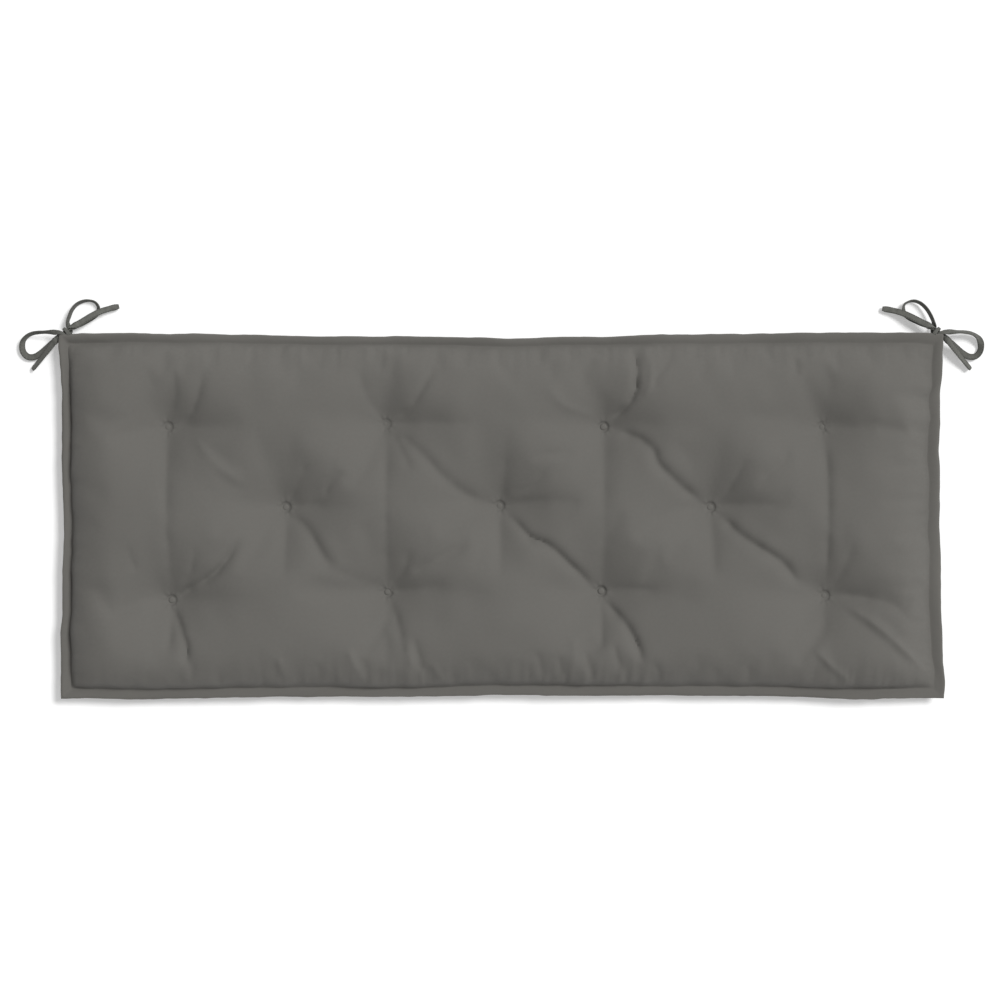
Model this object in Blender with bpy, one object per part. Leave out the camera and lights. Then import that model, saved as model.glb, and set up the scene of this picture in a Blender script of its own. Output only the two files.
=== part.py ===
"""Tufted bench cushion, lying on its back: a filled cover with a flat flange all round, eleven
tuft buttons, and two flat ties sewn into each back corner and tied in a bow.

Metres, +Z up. The origin is on the surface that the cushion lies on, under its middle. +X runs
along the bench and +Y to the back edge, where the ties are.
"""

import math

import bmesh
import bpy
from mathutils import Vector

MM = 0.001

# Cover
LENGTH = 1.200
DEPTH = 0.498
THICKNESS = 0.070
FLANGE_WIDTH = 0.016
FLANGE_THICKNESS = 0.0024
SEAM_HEIGHT = 0.026
CORNER_DROP = 0.003
BACK_CORNER_TRIM = 0.006
SHOULDER_ABOVE = 0.085
SHOULDER_BELOW = 0.060
PANEL_CELLS = (58, 24)
EDGE_CROWDING = 0.22
GRID_SHIFT_REACH = 0.070

# How far the filling draws each side of the outline in at its middle
DRAWN_IN = {"back": 0.0060, "front": 0.0045, "left": 0.0035, "right": 0.0050}

# Tufts: the top face is pulled down to the seat, the underside up by the lift
TUFTS = {
    "back_1": (-0.453, 0.121),
    "back_2": (-0.157, 0.125),
    "back_3": (0.138, 0.121),
    "back_4": (0.435, 0.121),
    "middle_1": (-0.291, 0.012),
    "middle_2": (-0.003, 0.014),
    "middle_3": (0.283, 0.012),
    "front_1": (-0.446, -0.114),
    "front_2": (-0.155, -0.103),
    "front_3": (0.135, -0.102),
    "front_4": (0.440, -0.107),
}
TUFT_SEAT = 0.031
TUFT_SPREAD = 0.052
TUFT_FLAT = 0.0095
TUFT_LIFT = 0.006
TUFT_LIFT_SPREAD = 0.022

# Troughs that run between tufts: (tuft, tuft, depth, half width)
TROUGHS = (
    ("back_1", "front_1", 0.011, 0.024),
    ("back_2", "front_2", 0.011, 0.024),
    ("back_3", "front_3", 0.011, 0.024),
    ("back_4", "front_4", 0.011, 0.024),
    ("back_2", "middle_2", 0.007, 0.018),
    ("back_3", "middle_3", 0.008, 0.018),
    ("middle_1", "front_2", 0.007, 0.018),
    ("middle_2", "front_3", 0.008, 0.018),
    ("middle_3", "front_4", 0.008, 0.018),
    ("front_1", "middle_1", 0.007, 0.018),
    ("back_1", "middle_1", 0.004, 0.020),
    ("middle_1", "back_2", 0.004, 0.020),
    ("middle_2", "back_3", 0.004, 0.020),
    ("middle_3", "back_4", 0.004, 0.020),
)

# Tuft button: a small covered dome
BUTTON_RADIUS = 0.0056
BUTTON_RIM = 0.0012
BUTTON_HEIGHT = 0.0034
BUTTON_SIDES = 14
GAP = 0.0004

# Ties, in the bow's own axes and in millimetres: "along" runs up the bow towards the middle of
# the back edge, "out" away from the cushion, "up" above the middle of the knot
BOW_ANGLE = math.atan2(0.6, 0.8)
KNOT_HEIGHT = 0.0215
TIE_WIDTH = 9.0
TIE_THICKNESS = 2.1
KNOT_WIDTH = 5.6
WRAP_WIDTH = 4.6
LANE = 1.45
LANE_TURNS = (
    (-17.0, -88),
    (-14.5, -66),
    (-12.0, -44),
    (-9.5, -22),
    (-7.0, 0),
    (0.0, 0),
    (7.0, 0),
    (9.5, 22),
    (12.0, 44),
    (14.5, 66),
    (17.0, 88),
)
WRAP_OUT = 4.9
WRAP_UP = 5.8
WRAP_PITCH = 6.6
WRAP_STEPS = 10
STEPS_PER_POINT = 2

# The knot's middle in plan, and how far the inner loop and tail swing out per unit along
BOWS = (
    {"name": "left", "side": -1, "knot": (-0.5996, 0.2468), "swing": 0.0},
    {"name": "right", "side": 1, "knot": (0.5993, 0.2473), "swing": -0.07},
)

CLOTH_COLOUR = (0.134, 0.131, 0.120, 1.0)
TIE_COLOUR = (0.105, 0.106, 0.096, 1.0)


def clear_scene():
    for obj in list(bpy.data.objects):
        bpy.data.objects.remove(obj, do_unlink=True)


def cloth_material(name, colour):
    material = bpy.data.materials.new(name)
    material.use_nodes = True
    shader = material.node_tree.nodes["Principled BSDF"]
    shader.inputs["Base Color"].default_value = colour
    shader.inputs["Roughness"].default_value = 0.9
    shader.inputs["Metallic"].default_value = 0.0
    return material


def add_object(name, bm, material, sharp_angle=math.radians(40)):
    bmesh.ops.recalc_face_normals(bm, faces=bm.faces)
    mesh = bpy.data.meshes.new(name)
    bm.to_mesh(mesh)
    bm.free()
    mesh.shade_smooth()
    mesh.set_sharp_from_angle(angle=sharp_angle)
    mesh.materials.append(material)
    obj = bpy.data.objects.new(name, mesh)
    bpy.context.scene.collection.objects.link(obj)
    return obj


# Cover -------------------------------------------------------------------------------------


def crowded(t):
    """Moves a grid parameter from -1 to 1 towards the ends, where the cover curves most."""
    return t * (1 + EDGE_CROWDING - EDGE_CROWDING * t * t)


def outline_point(u, v, beyond_seam):
    """The place in plan of grid parameters u and v, drawn in towards the middle of each side."""
    side = DRAWN_IN["right"] if u > 0 else DRAWN_IN["left"]
    end = DRAWN_IN["back"] if v > 0 else DRAWN_IN["front"]
    half_length = LENGTH / 2 - FLANGE_WIDTH - side * (1 - v * v) + beyond_seam
    half_depth = DEPTH / 2 - FLANGE_WIDTH - end * (1 - u * u) + beyond_seam
    return u * half_length, v * half_depth


def shoulder(u, v, width):
    """0 on the seam and 1 inside it, rounding over within the width."""
    rise = 1.0
    for share, half_side in ((u, LENGTH / 2), (v, DEPTH / 2)):
        missing = 1 - min((1 - abs(share)) * half_side / width, 1.0)
        rise *= math.sqrt(max(0.0, 1 - missing * missing))
    return rise


def seam_height(u, v):
    return SEAM_HEIGHT - CORNER_DROP * (u * v) ** 6


def trough_depth(x, y):
    """How deep the troughs between tufts are at a point, as the sum of them all."""
    depth = 0.0
    for start_name, end_name, most, half_width in TROUGHS:
        start, end = Vector(TUFTS[start_name]), Vector(TUFTS[end_name])
        line = end - start
        along = (Vector((x, y)) - start).dot(line) / line.length_squared
        if 0 < along < 1:
            away = (Vector((x, y)) - start - along * line).length
            level = math.sin(math.pi * along) ** 0.5
            depth += most * level * math.exp(-((away / half_width) ** 2))
    return depth


def top_height(u, v):
    """The top panel: the crown, pulled down by the tufts and by the troughs between them."""
    x, y = outline_point(u, v, 0.0)
    base = seam_height(u, v) + FLANGE_THICKNESS / 2
    height = (THICKNESS - base) * shoulder(u, v, SHOULDER_ABOVE) - trough_depth(x, y)
    for place in TUFTS.values():
        away = math.hypot(x - place[0], y - place[1])
        pull = math.exp(-((away / TUFT_SPREAD) ** 1.3))
        height -= max(0.0, base + height - TUFT_SEAT) * pull
    return base + max(height, 0.0)


def under_height(u, v):
    """The underside: flat on the surface, up to the seam at the sides, lifted at the tufts."""
    x, y = outline_point(u, v, 0.0)
    base = seam_height(u, v) - FLANGE_THICKNESS / 2
    lifts = [math.hypot(x - place[0], y - place[1]) / TUFT_LIFT_SPREAD for place in TUFTS.values()]
    lift = TUFT_LIFT * max(0.0, 1 - min(lifts)) ** 1.5
    return base * (1 - shoulder(u, v, SHOULDER_BELOW)) + lift


def parameters_at(place):
    """The grid parameters of a place in plan."""
    u = v = 0.0
    for _ in range(6):
        reach = outline_point(math.copysign(1, place[0]), v, 0.0)[0]
        u = place[0] / abs(reach)
        reach = outline_point(u, math.copysign(1, place[1]), 0.0)[1]
        v = place[1] / abs(reach)
    return Vector((u, v))


def move_grid_to_tufts(parameter):
    """Shifts the grid a little round each tuft, so that one grid point lies on it."""
    seats = []
    for place in TUFTS.values():
        wanted = parameters_at(place)
        nearest = min(parameter, key=lambda vert: (parameter[vert] - wanted).length)
        shift = wanted - parameter[nearest]
        centre = parameter[nearest].copy()
        for vert, old in parameter.items():
            offset = old - centre
            away = math.hypot(offset.x * LENGTH / 2, offset.y * DEPTH / 2) / GRID_SHIFT_REACH
            parameter[vert] = old + shift * max(0.0, 1 - away) ** 2 * (1 + 2 * away)
        seats.append(nearest)
    return seats


def add_panel(bm, height_of, flange_offset, seat_level):
    """A grid inside the seam with the flange extruded round it. Returns its outer edges."""
    cells_x, cells_y = PANEL_CELLS
    verts = bmesh.ops.create_grid(bm, x_segments=cells_x, y_segments=cells_y, size=1.0)["verts"]
    parameter = {vert: Vector((crowded(vert.co.x), crowded(vert.co.y))) for vert in verts}
    seats = move_grid_to_tufts(parameter)
    for vert, (u, v) in parameter.items():
        vert.co = (*outline_point(u, v, 0.0), height_of(u, v))
    seam = [edge for edge in bm.edges if edge.is_boundary and edge.verts[0] in parameter]
    at_seam = {vert.co.to_tuple(6): parameter[vert] for edge in seam for vert in edge.verts}
    flange = bmesh.ops.extrude_edge_only(bm, edges=seam)["geom"]
    for vert in (item for item in flange if isinstance(item, bmesh.types.BMVert)):
        u, v = at_seam[vert.co.to_tuple(6)]
        width = FLANGE_WIDTH - (BACK_CORNER_TRIM if abs(u) == 1 and v == 1 else 0.0)
        vert.co = (*outline_point(u, v, width), seam_height(u, v) + flange_offset)
    cut_seats(bm, seats, seat_level)
    return [item for item in flange if isinstance(item, bmesh.types.BMEdge) and item.is_boundary]


def cut_seats(bm, seats, level):
    """A small flat face at each tuft, at one level."""
    cut = bmesh.ops.bevel(
        bm,
        geom=seats,
        offset=TUFT_FLAT,
        offset_type="OFFSET",
        segments=1,
        affect="VERTICES",
    )
    for vert in cut["verts"]:
        place = min(TUFTS.values(), key=lambda tuft: (vert.co.xy - Vector(tuft)).length)
        offset = vert.co.xy - Vector(place)
        if abs(offset.x) > abs(offset.y):
            corner = Vector((math.copysign(TUFT_FLAT, offset.x), 0.0))
        else:
            corner = Vector((0.0, math.copysign(TUFT_FLAT, offset.y)))
        vert.co = (*(Vector(place) + corner), level)


def make_cushion(material):
    bm = bmesh.new()
    outer = add_panel(bm, top_height, FLANGE_THICKNESS / 2, TUFT_SEAT)
    outer += add_panel(bm, under_height, -FLANGE_THICKNESS / 2, TUFT_LIFT)
    bmesh.ops.bridge_loops(bm, edges=outer)
    return add_object("cushion", bm, material)


# Tuft buttons ------------------------------------------------------------------------------


def make_button(name, place, material):
    """A turned dome on a short rim, standing just clear of its seat."""
    profile = [(0.0, 0.0), (BUTTON_RADIUS, 0.0), (BUTTON_RADIUS, BUTTON_RIM)]
    for share in (0.72, 0.36):
        rise = math.sqrt(1 - share * share) * (BUTTON_HEIGHT - BUTTON_RIM)
        profile.append((BUTTON_RADIUS * share, BUTTON_RIM + rise))
    profile.append((0.0, BUTTON_HEIGHT))
    bm = bmesh.new()
    ring = [bm.verts.new((radius, 0.0, height)) for radius, height in profile]
    edges = [bm.edges.new(pair) for pair in zip(ring, ring[1:])]
    bmesh.ops.spin(
        bm,
        geom=ring + edges,
        axis=(0, 0, 1),
        cent=(0, 0, 0),
        steps=BUTTON_SIDES,
        angle=math.tau,
        use_merge=True,
    )
    bmesh.ops.remove_doubles(bm, verts=bm.verts, dist=1e-6)
    button = add_object(name, bm, material)
    button.location = (*place, TUFT_SEAT + GAP)
    return button


# Ties --------------------------------------------------------------------------------------
# A route row is (along, out, up), (width direction in the same axes), width.

ON_EDGE = (0, 0, 1)


def lane_rows(lane, direction):
    """Through the wrap: the two lanes lie one above the other, turn to side by side, and back."""
    rows = []
    for along, turn_degrees in LANE_TURNS[::direction]:
        turn = math.radians(turn_degrees)
        opened = abs(turn_degrees) / 90
        apart = lane * LANE * (1 + 0.75 * opened)
        place = (along, apart * math.cos(turn), apart * math.sin(turn))
        width = KNOT_WIDTH + (TIE_WIDTH - KNOT_WIDTH) * opened
        rows.append((place, (0, math.sin(turn), -math.cos(turn)), width))
    return rows


def wrap_rows():
    """One whole turn round the knot, from over the top and round by the outer side."""
    rows = []
    for step in range(WRAP_STEPS + 1):
        turn = math.tau * step / WRAP_STEPS
        along = WRAP_PITCH * (0.5 - step / WRAP_STEPS)
        place = (along, WRAP_OUT * math.sin(turn), WRAP_UP * math.cos(turn))
        rows.append((place, (1, 0, 0), WRAP_WIDTH))
    return rows


def under_tie_rows():
    """Crosses below the knot, makes the inner loop, runs back through, ends in the outer tail."""
    return [
        ((4.2, -4.5, -0.2), (1, 0.12, 0), 6.5),
        ((6.6, -4.4, -3.0), (1, 0.1, 0), 6.5),
        ((9.0, -2.4, -6.6), (0.85, -0.3, 0), 6.5),
        ((11.0, 1.8, -8.6), (0.75, -0.55, 0.1), 6.5),
        ((13.4, 6.8, -8.4), (0.5, -0.5, 0.6), 7.5),
        ((17.4, 10.6, -8.0), (0.1, -0.2, 1), 8.5),
        ((25.0, 14.6, -9.2), ON_EDGE, TIE_WIDTH),
        ((33.8, 18.2, -10.4), ON_EDGE, TIE_WIDTH),
        ((42.5, 19.6, -12.6), ON_EDGE, TIE_WIDTH),
        ((51.5, 18.4, -14.2), ON_EDGE, TIE_WIDTH),
        ((58.6, 14.0, -15.2), ON_EDGE, TIE_WIDTH),
        ((62.2, 7.4, -15.6), (0.1, 0.1, 1), TIE_WIDTH),
        ((61.3, 1.2, -15.6), (0.3, 0.3, 0.9), TIE_WIDTH),
        ((57.5, -2.6, -15.8), (0.2, 0.8, 0.5), TIE_WIDTH),
        ((50.0, -3.4, -14.4), (0, 1, 0.15), TIE_WIDTH),
        ((39.5, -2.3, -11.0), (0, 1, 0), TIE_WIDTH),
        ((28.0, -1.2, -6.4), (0, 1, 0), TIE_WIDTH),
        *lane_rows(-1, -1),
        ((-26.0, -4.0, 0.8), (0, -1, 0), TIE_WIDTH),
        ((-36.0, -6.9, -3.6), (-0.1, -0.9, -0.45), TIE_WIDTH),
        ((-46.5, -10.3, -9.4), (-0.1, -0.8, -0.6), TIE_WIDTH),
        ((-54.5, -12.8, -13.4), (-0.1, -0.8, -0.6), TIE_WIDTH),
        ((-60.6, -14.8, -15.2), (-0.1, -0.8, -0.6), TIE_WIDTH),
    ]


def over_tie_rows():
    """Wraps the knot, makes the outer loop, runs back through, and ends in the inner tail."""
    return [
        ((3.6, -4.3, 3.0), (1, 0.1, 0), 5.4),
        ((3.4, -2.7, 5.2), (1, 0, 0), 5.0),
        *wrap_rows(),
        ((-6.0, 4.6, 5.4), (0.75, -0.7, 0.1), 5.6),
        ((-11.0, 9.8, 3.6), (0.5, -0.5, 0.7), 7.0),
        ((-18.0, 15.0, 0.0), (0.1, -0.2, 1), 8.5),
        ((-27.0, 20.6, -5.0), (-0.15, 0.2, 1), TIE_WIDTH),
        ((-36.5, 25.2, -9.5), (-0.25, 0.4, 0.9), TIE_WIDTH),
        ((-45.5, 25.8, -12.5), (-0.5, 0.5, 0.8), TIE_WIDTH),
        ((-52.6, 21.4, -15.0), (-0.8, 0.5, 0.6), TIE_WIDTH),
        ((-56.4, 13.6, -16.8), (-1, 0.1, 0.3), TIE_WIDTH),
        ((-54.6, 5.2, -17.6), (-0.8, -0.6, 0.1), TIE_WIDTH),
        ((-47.4, 0.2, -17.0), (-0.3, -1, 0), TIE_WIDTH),
        ((-37.5, -1.0, -13.4), (0, -1, 0), TIE_WIDTH),
        ((-27.0, -0.8, -7.6), (0, -1, 0), TIE_WIDTH),
        *lane_rows(1, 1),
        ((26.0, -0.8, 1.0), (0, 1, -0.2), TIE_WIDTH),
        ((36.5, -1.6, -1.2), (0, 0.9, -0.45), TIE_WIDTH),
        ((48.0, -3.2, -4.2), (0, 0.8, -0.6), TIE_WIDTH),
        ((58.5, -5.1, -7.8), (0, 0.8, -0.6), TIE_WIDTH),
        ((70.4, -8.8, -12.6), (0, 0.8, -0.6), TIE_WIDTH),
        ((84.0, -14.7, -15.8), (0, 0.8, -0.6), TIE_WIDTH),
    ]


def slope(values, spans, index):
    """The change per length of route at a point, from the spans on both sides of it."""
    if index == 0:
        return (values[1] - values[0]) / spans[0]
    if index == len(spans):
        return (values[-1] - values[-2]) / spans[-1]
    back = (values[index] - values[index - 1]) / spans[index - 1]
    ahead = (values[index + 1] - values[index]) / spans[index]
    return (back * spans[index] + ahead * spans[index - 1]) / (spans[index - 1] + spans[index])


def smooth(values, spans, index, share):
    """A smooth curve from values[index] to the next, at a share from 0 to 1 of the way."""
    slope_start = slope(values, spans, index) * spans[index]
    slope_end = slope(values, spans, index + 1) * spans[index]
    s2, s3 = share * share, share**3
    return (
        values[index] * (2 * s3 - 3 * s2 + 1)
        + slope_start * (s3 - 2 * s2 + share)
        + values[index + 1] * (3 * s2 - 2 * s3)
        + slope_end * (s3 - s2)
    )


def swung(place, bow):
    """Swings the inner half of the bow, beyond the knot."""
    beyond = max(0.0, place[0] - LANE_TURNS[-1][0])
    return Vector((place[0], place[1] + bow["swing"] * beyond, place[2]))


def tie_sections(rows, bow):
    """The four corners of the tie's section, in metres, at steps along the route."""
    points = [swung(row[0], bow) for row in rows]
    widths = [Vector(row[1]).normalized() for row in rows]
    sizes = [row[2] for row in rows]
    spans = [(end - start).length for start, end in zip(points, points[1:])]
    steps = [(i, s / STEPS_PER_POINT) for i in range(len(rows) - 1) for s in range(STEPS_PER_POINT)]
    steps.append((len(rows) - 2, 1.0))
    centres = [smooth(points, spans, i, s) for i, s in steps]
    sections = []
    for number, (i, s) in enumerate(steps):
        ahead = centres[min(number + 1, len(centres) - 1)] - centres[max(number - 1, 0)]
        across = smooth(widths, spans, i, s)
        across -= ahead * across.dot(ahead) / ahead.length_squared
        across.normalize()
        normal = ahead.normalized().cross(across)
        half_width = smooth(sizes, spans, i, s) / 2
        half_thickness = TIE_THICKNESS / 2
        sections.append(
            [
                centres[number] + across * half_width * a + normal * half_thickness * b
                for a, b in ((-1, -1), (1, -1), (1, 1), (-1, 1))
            ]
        )
    return sections


def make_tie(name, rows, bow, material):
    along_axis = Vector((-bow["side"] * math.cos(BOW_ANGLE), math.sin(BOW_ANGLE), 0))
    out_axis = Vector((bow["side"] * math.sin(BOW_ANGLE), math.cos(BOW_ANGLE), 0))
    middle = Vector((*bow["knot"], KNOT_HEIGHT))
    bm = bmesh.new()
    rings = []
    for section in tie_sections(rows, bow):
        ring = []
        for corner in section:
            place = along_axis * corner.x + out_axis * corner.y + Vector((0, 0, corner.z))
            ring.append(bm.verts.new(middle + place * MM))
        rings.append(ring)
    for before, after in zip(rings, rings[1:]):
        for k in range(4):
            bm.faces.new((before[k], before[k - 1], after[k - 1], after[k]))
    bm.faces.new(rings[0])
    bm.faces.new(list(reversed(rings[-1])))
    return add_object(name, bm, material)


def main():
    clear_scene()
    cloth = cloth_material("cover_cloth", CLOTH_COLOUR)
    tie_cloth = cloth_material("tie_cloth", TIE_COLOUR)
    make_cushion(cloth)
    for name, place in TUFTS.items():
        make_button(f"button_{name}", place, cloth)
    for bow in BOWS:
        make_tie(f"tie_{bow['name']}_under", under_tie_rows(), bow, tie_cloth)
        make_tie(f"tie_{bow['name']}_over", over_tie_rows(), bow, tie_cloth)


main()
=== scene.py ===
import math
import bpy
import numpy as np
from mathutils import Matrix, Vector, noise


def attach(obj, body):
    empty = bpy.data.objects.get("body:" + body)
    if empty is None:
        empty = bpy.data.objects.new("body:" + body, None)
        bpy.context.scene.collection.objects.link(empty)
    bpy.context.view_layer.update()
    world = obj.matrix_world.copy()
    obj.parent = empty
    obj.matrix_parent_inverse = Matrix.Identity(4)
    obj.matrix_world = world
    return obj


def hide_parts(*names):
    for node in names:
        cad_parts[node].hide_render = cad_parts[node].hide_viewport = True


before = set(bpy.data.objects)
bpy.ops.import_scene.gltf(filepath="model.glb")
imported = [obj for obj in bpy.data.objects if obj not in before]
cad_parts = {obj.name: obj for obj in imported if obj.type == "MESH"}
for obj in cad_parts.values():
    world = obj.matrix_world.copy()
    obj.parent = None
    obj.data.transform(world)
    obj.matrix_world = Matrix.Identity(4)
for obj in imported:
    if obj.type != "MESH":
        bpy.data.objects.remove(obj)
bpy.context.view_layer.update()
mm = 0.001
print("frame loaded")

# camera, straight down on the face of the cushion
camera = {"over": (-2.3, 21.8), "height": 3238, "lens": 85, "sensor": 36}


def addCamera():
    bpy.ops.object.select_all(action="DESELECT")
    x, y = camera["over"]
    bpy.ops.object.camera_add(location=(x * mm, y * mm, camera["height"] * mm), rotation=(0, 0, 0))
    eye = bpy.context.object
    eye.name = "viewCamera"
    eye.data.lens = camera["lens"]
    eye.data.sensor_width = camera["sensor"]
    bpy.context.scene.camera = eye
    bpy.context.scene.view_settings.view_transform = "Standard"


addCamera()
print("camera set")


# small helpers

def rowBlend(rows, value, fineCount=400, softReach=6):
    # a smooth value between the rows of a (place, amount) table
    places, amounts = np.array(rows, float).T
    fine = np.linspace(places[0], places[-1], fineCount)
    level = np.pad(np.interp(fine, places, amounts), softReach, mode="edge")
    window = np.hanning(2 * softReach + 1)
    return np.interp(value, fine, np.convolve(level, window / window.sum(), "valid"))


def smoothStep(value):
    value = np.clip(value, 0.0, 1.0)
    return value * value * (3 - 2 * value)


def ease(value, start, reach):
    # 0 up to start, 1 from start + reach on
    return smoothStep((value - start) / reach)


def waves(run, rows, level=0.0):
    # sines on a level, each row (height, how often, shift)
    return sum((high * np.sin(run * often + shift) for high, often, shift in rows), level)


def lumps(places, rows):
    # smooth noise at plan places, each row (height, how fine, which field)
    return np.array([sum(high * noise.noise(Vector((x * often, y * often, field))) for high, often, field in rows)
                     for x, y in places])


def newMesh(name, points, faces):
    mesh = bpy.data.meshes.new(name)
    mesh.from_pydata([tuple(p) for p in points], [], faces)
    mesh.update()
    mesh.shade_smooth()
    piece = bpy.data.objects.new(name, mesh)
    bpy.context.scene.collection.objects.link(piece)
    return piece


def pickOnly(piece):
    bpy.ops.object.select_all(action="DESELECT")
    piece.select_set(True)
    bpy.context.view_layer.objects.active = piece


def pickFaces(piece, wanted):
    # into edit mode with only the wanted faces picked
    bpy.ops.object.mode_set(mode="EDIT")
    bpy.ops.mesh.select_mode(type="FACE")
    bpy.ops.mesh.select_all(action="DESELECT")
    bpy.ops.object.mode_set(mode="OBJECT")
    for face in piece.data.polygons:
        face.select = wanted(face)
    bpy.ops.object.mode_set(mode="EDIT")


def subdivideOnce(piece):
    finer = piece.modifiers.new("Subdivision", "SUBSURF")
    finer.levels = finer.render_levels = 1
    bpy.ops.object.modifier_apply(modifier="Subdivision")


def newMaterial(name):
    material = bpy.data.materials.new(name)
    material.use_nodes = True
    tree = material.node_tree
    return material, tree.nodes, tree.links, tree.nodes["Principled BSDF"]


def setInputs(node, values):
    for socket, value in values.items():
        node.inputs[socket].default_value = value


def pointsOf(mesh):
    flat = np.empty(len(mesh.vertices) * 3)
    mesh.vertices.foreach_get("co", flat)
    return flat.reshape(-1, 3)


def placePoints(mesh, points):
    mesh.vertices.foreach_set("co", np.ascontiguousarray(points, dtype=float).ravel())
    mesh.update()


# ties: flat strips tied in a bow at each back corner
# a route row is (along the bow, away from the cushion, above the knot), width direction, width, in mm
tie = {
    "width": 9, "thick": 2.1, "slant": (0.8, 0.6),      # the bow lies across the corner
    "lane": 1.45, "laneWidth": 5.6, "laneHalf": 7, "laneOpen": 0.75, "laneSink": 0.12,    # through the knot
    "wrapOut": 4.9, "wrapUp": 5.8, "wrapPitch": 6.6, "wrapWidth": 4.6,
    "knotUp": 17, "drop": 0.72, "dropFrom": 9,          # what is further than this from the knot lies lower
    "steps": 8, "sides": 16, "section": (0.45, 0.6), "endThin": 0.82,
}
bows = {
    "left": {"side": -1, "knot": (-595.7, 250.7), "swing": 0,
             "innerLoop": ((9.6, 8.8), (17.5, 15.2), (26.3, 20.3), (35.6, 22.3), (44.5, 20.5), (51.9, 16),
                           (56.3, 9.4)),
             "outerTurn": (0.93, 0.92, 0.91, 0.88, 0.75, 0.55, 0.4, 0.2, 0.05, 0, 0)},
    "right": {"side": 1, "knot": (595.4, 251.2), "swing": -0.07,
              "innerLoop": ((11.6, 7.2), (21, 13.2), (31.9, 18.2), (42.9, 20), (51.4, 17.6), (56.4, 12.4),
                            (58, 6.2)),
              "outerTurn": (-0.65, -0.65, -0.6, -0.45, -0.1, 0.4, 0.6, 0.45, 0.2, 0, 0)},
}
# (along the bow, how far the strap has turned in degrees)
laneTurns = [(-7 - 2.5 * k, -22 * k) for k in range(4, -1, -1)] + [(0, 0)] + [(7 + 2.5 * k, 22 * k) for k in range(5)]


def laneRows(lane, direction, face=1):
    rows = []
    for along, degrees in laneTurns[::direction]:
        turn, opened = math.radians(degrees), abs(degrees) / 90
        apart = lane * tie["lane"] * (1 + tie["laneOpen"] * opened)
        width = tie["laneWidth"] + (tie["width"] - tie["laneWidth"]) * opened
        sink = tie["laneSink"] * max(0, abs(along) - tie["laneHalf"])
        place = (along, apart * math.cos(turn) - sink, apart * math.sin(turn))
        rows.append((place, (0, face * math.sin(turn), -face * math.cos(turn)), width))
    return rows


def wrapRows(steps=10):
    rows = []
    for step in range(steps + 1):
        turn = math.tau * step / steps
        along = tie["wrapPitch"] * (0.5 - step / steps)
        place = (along, tie["wrapOut"] * math.sin(turn), tie["wrapUp"] * math.cos(turn))
        rows.append((place, (1, 0, 0), tie["wrapWidth"]))
    return rows


def underRows(loop):
    # below the knot, round the inner loop, back through the knot, out as the outer tail
    ups = (-8.4, -9.2, -10.4, -12.6, -14.2, -15.2, -15.6)
    ways = ((-0.25, 0.2, 0.92), (-0.14, 0.28, 0.95), (-0.08, 0.3, 0.95), (0, 0.3, 0.95), (0.1, 0.26, 0.95),
            (0.12, 0.12, 0.98), (0.32, 0, 0.95))
    return [
        ((-0.8, -6.4, 6.4), (-1, -0.12, 0), 6.5), ((1.6, -6.6, 2.2), (-1, -0.1, 0), 6.5),
        ((4.4, -5, -3.2), (-0.9, 0.2, 0), 6.5), ((6.4, -1.2, -7.2), (-0.8, 0.4, 0.2), 6.5),
        ((7.4, 3.8, -8.6), (-0.6, 0.25, 0.7), 7.5),
        *[((a, o, up), way, 9) for (a, o), up, way in zip(loop, ups, ways)],
        ((55.9, 2, -15.6), (0.4, -0.3, 0.85), 9), ((51.6, -2.8, -15.8), (0.1, -0.8, 0.55), 9),
        ((44.5, -4, -14.4), (0, -1, 0.15), 9), ((34, -3.5, -11), (0, -1, 0), 9),
        ((23, -2.3, -6), (0, -1, 0), 9),
        *laneRows(-1, -1, -1),
        ((-23, -2.6, -1), (0, 0.9, -0.3), 9), ((-31.5, -4.6, -3.4), (0, 0.85, -0.4), 9),
        ((-41.5, -6.9, -6.4), (0, 0.8, -0.55), 9), ((-52, -9.2, -10.4), (-0.05, 0.8, -0.6), 8.6),
        ((-60.3, -10.9, -13.2), (-0.05, 0.8, -0.6), 8), ((-66, -12, -14.6), (-0.05, 0.8, -0.6), 7.2),
        ((-67.6, -12.3, -15), (-0.05, 0.8, -0.6), 5.6),
    ]


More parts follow.
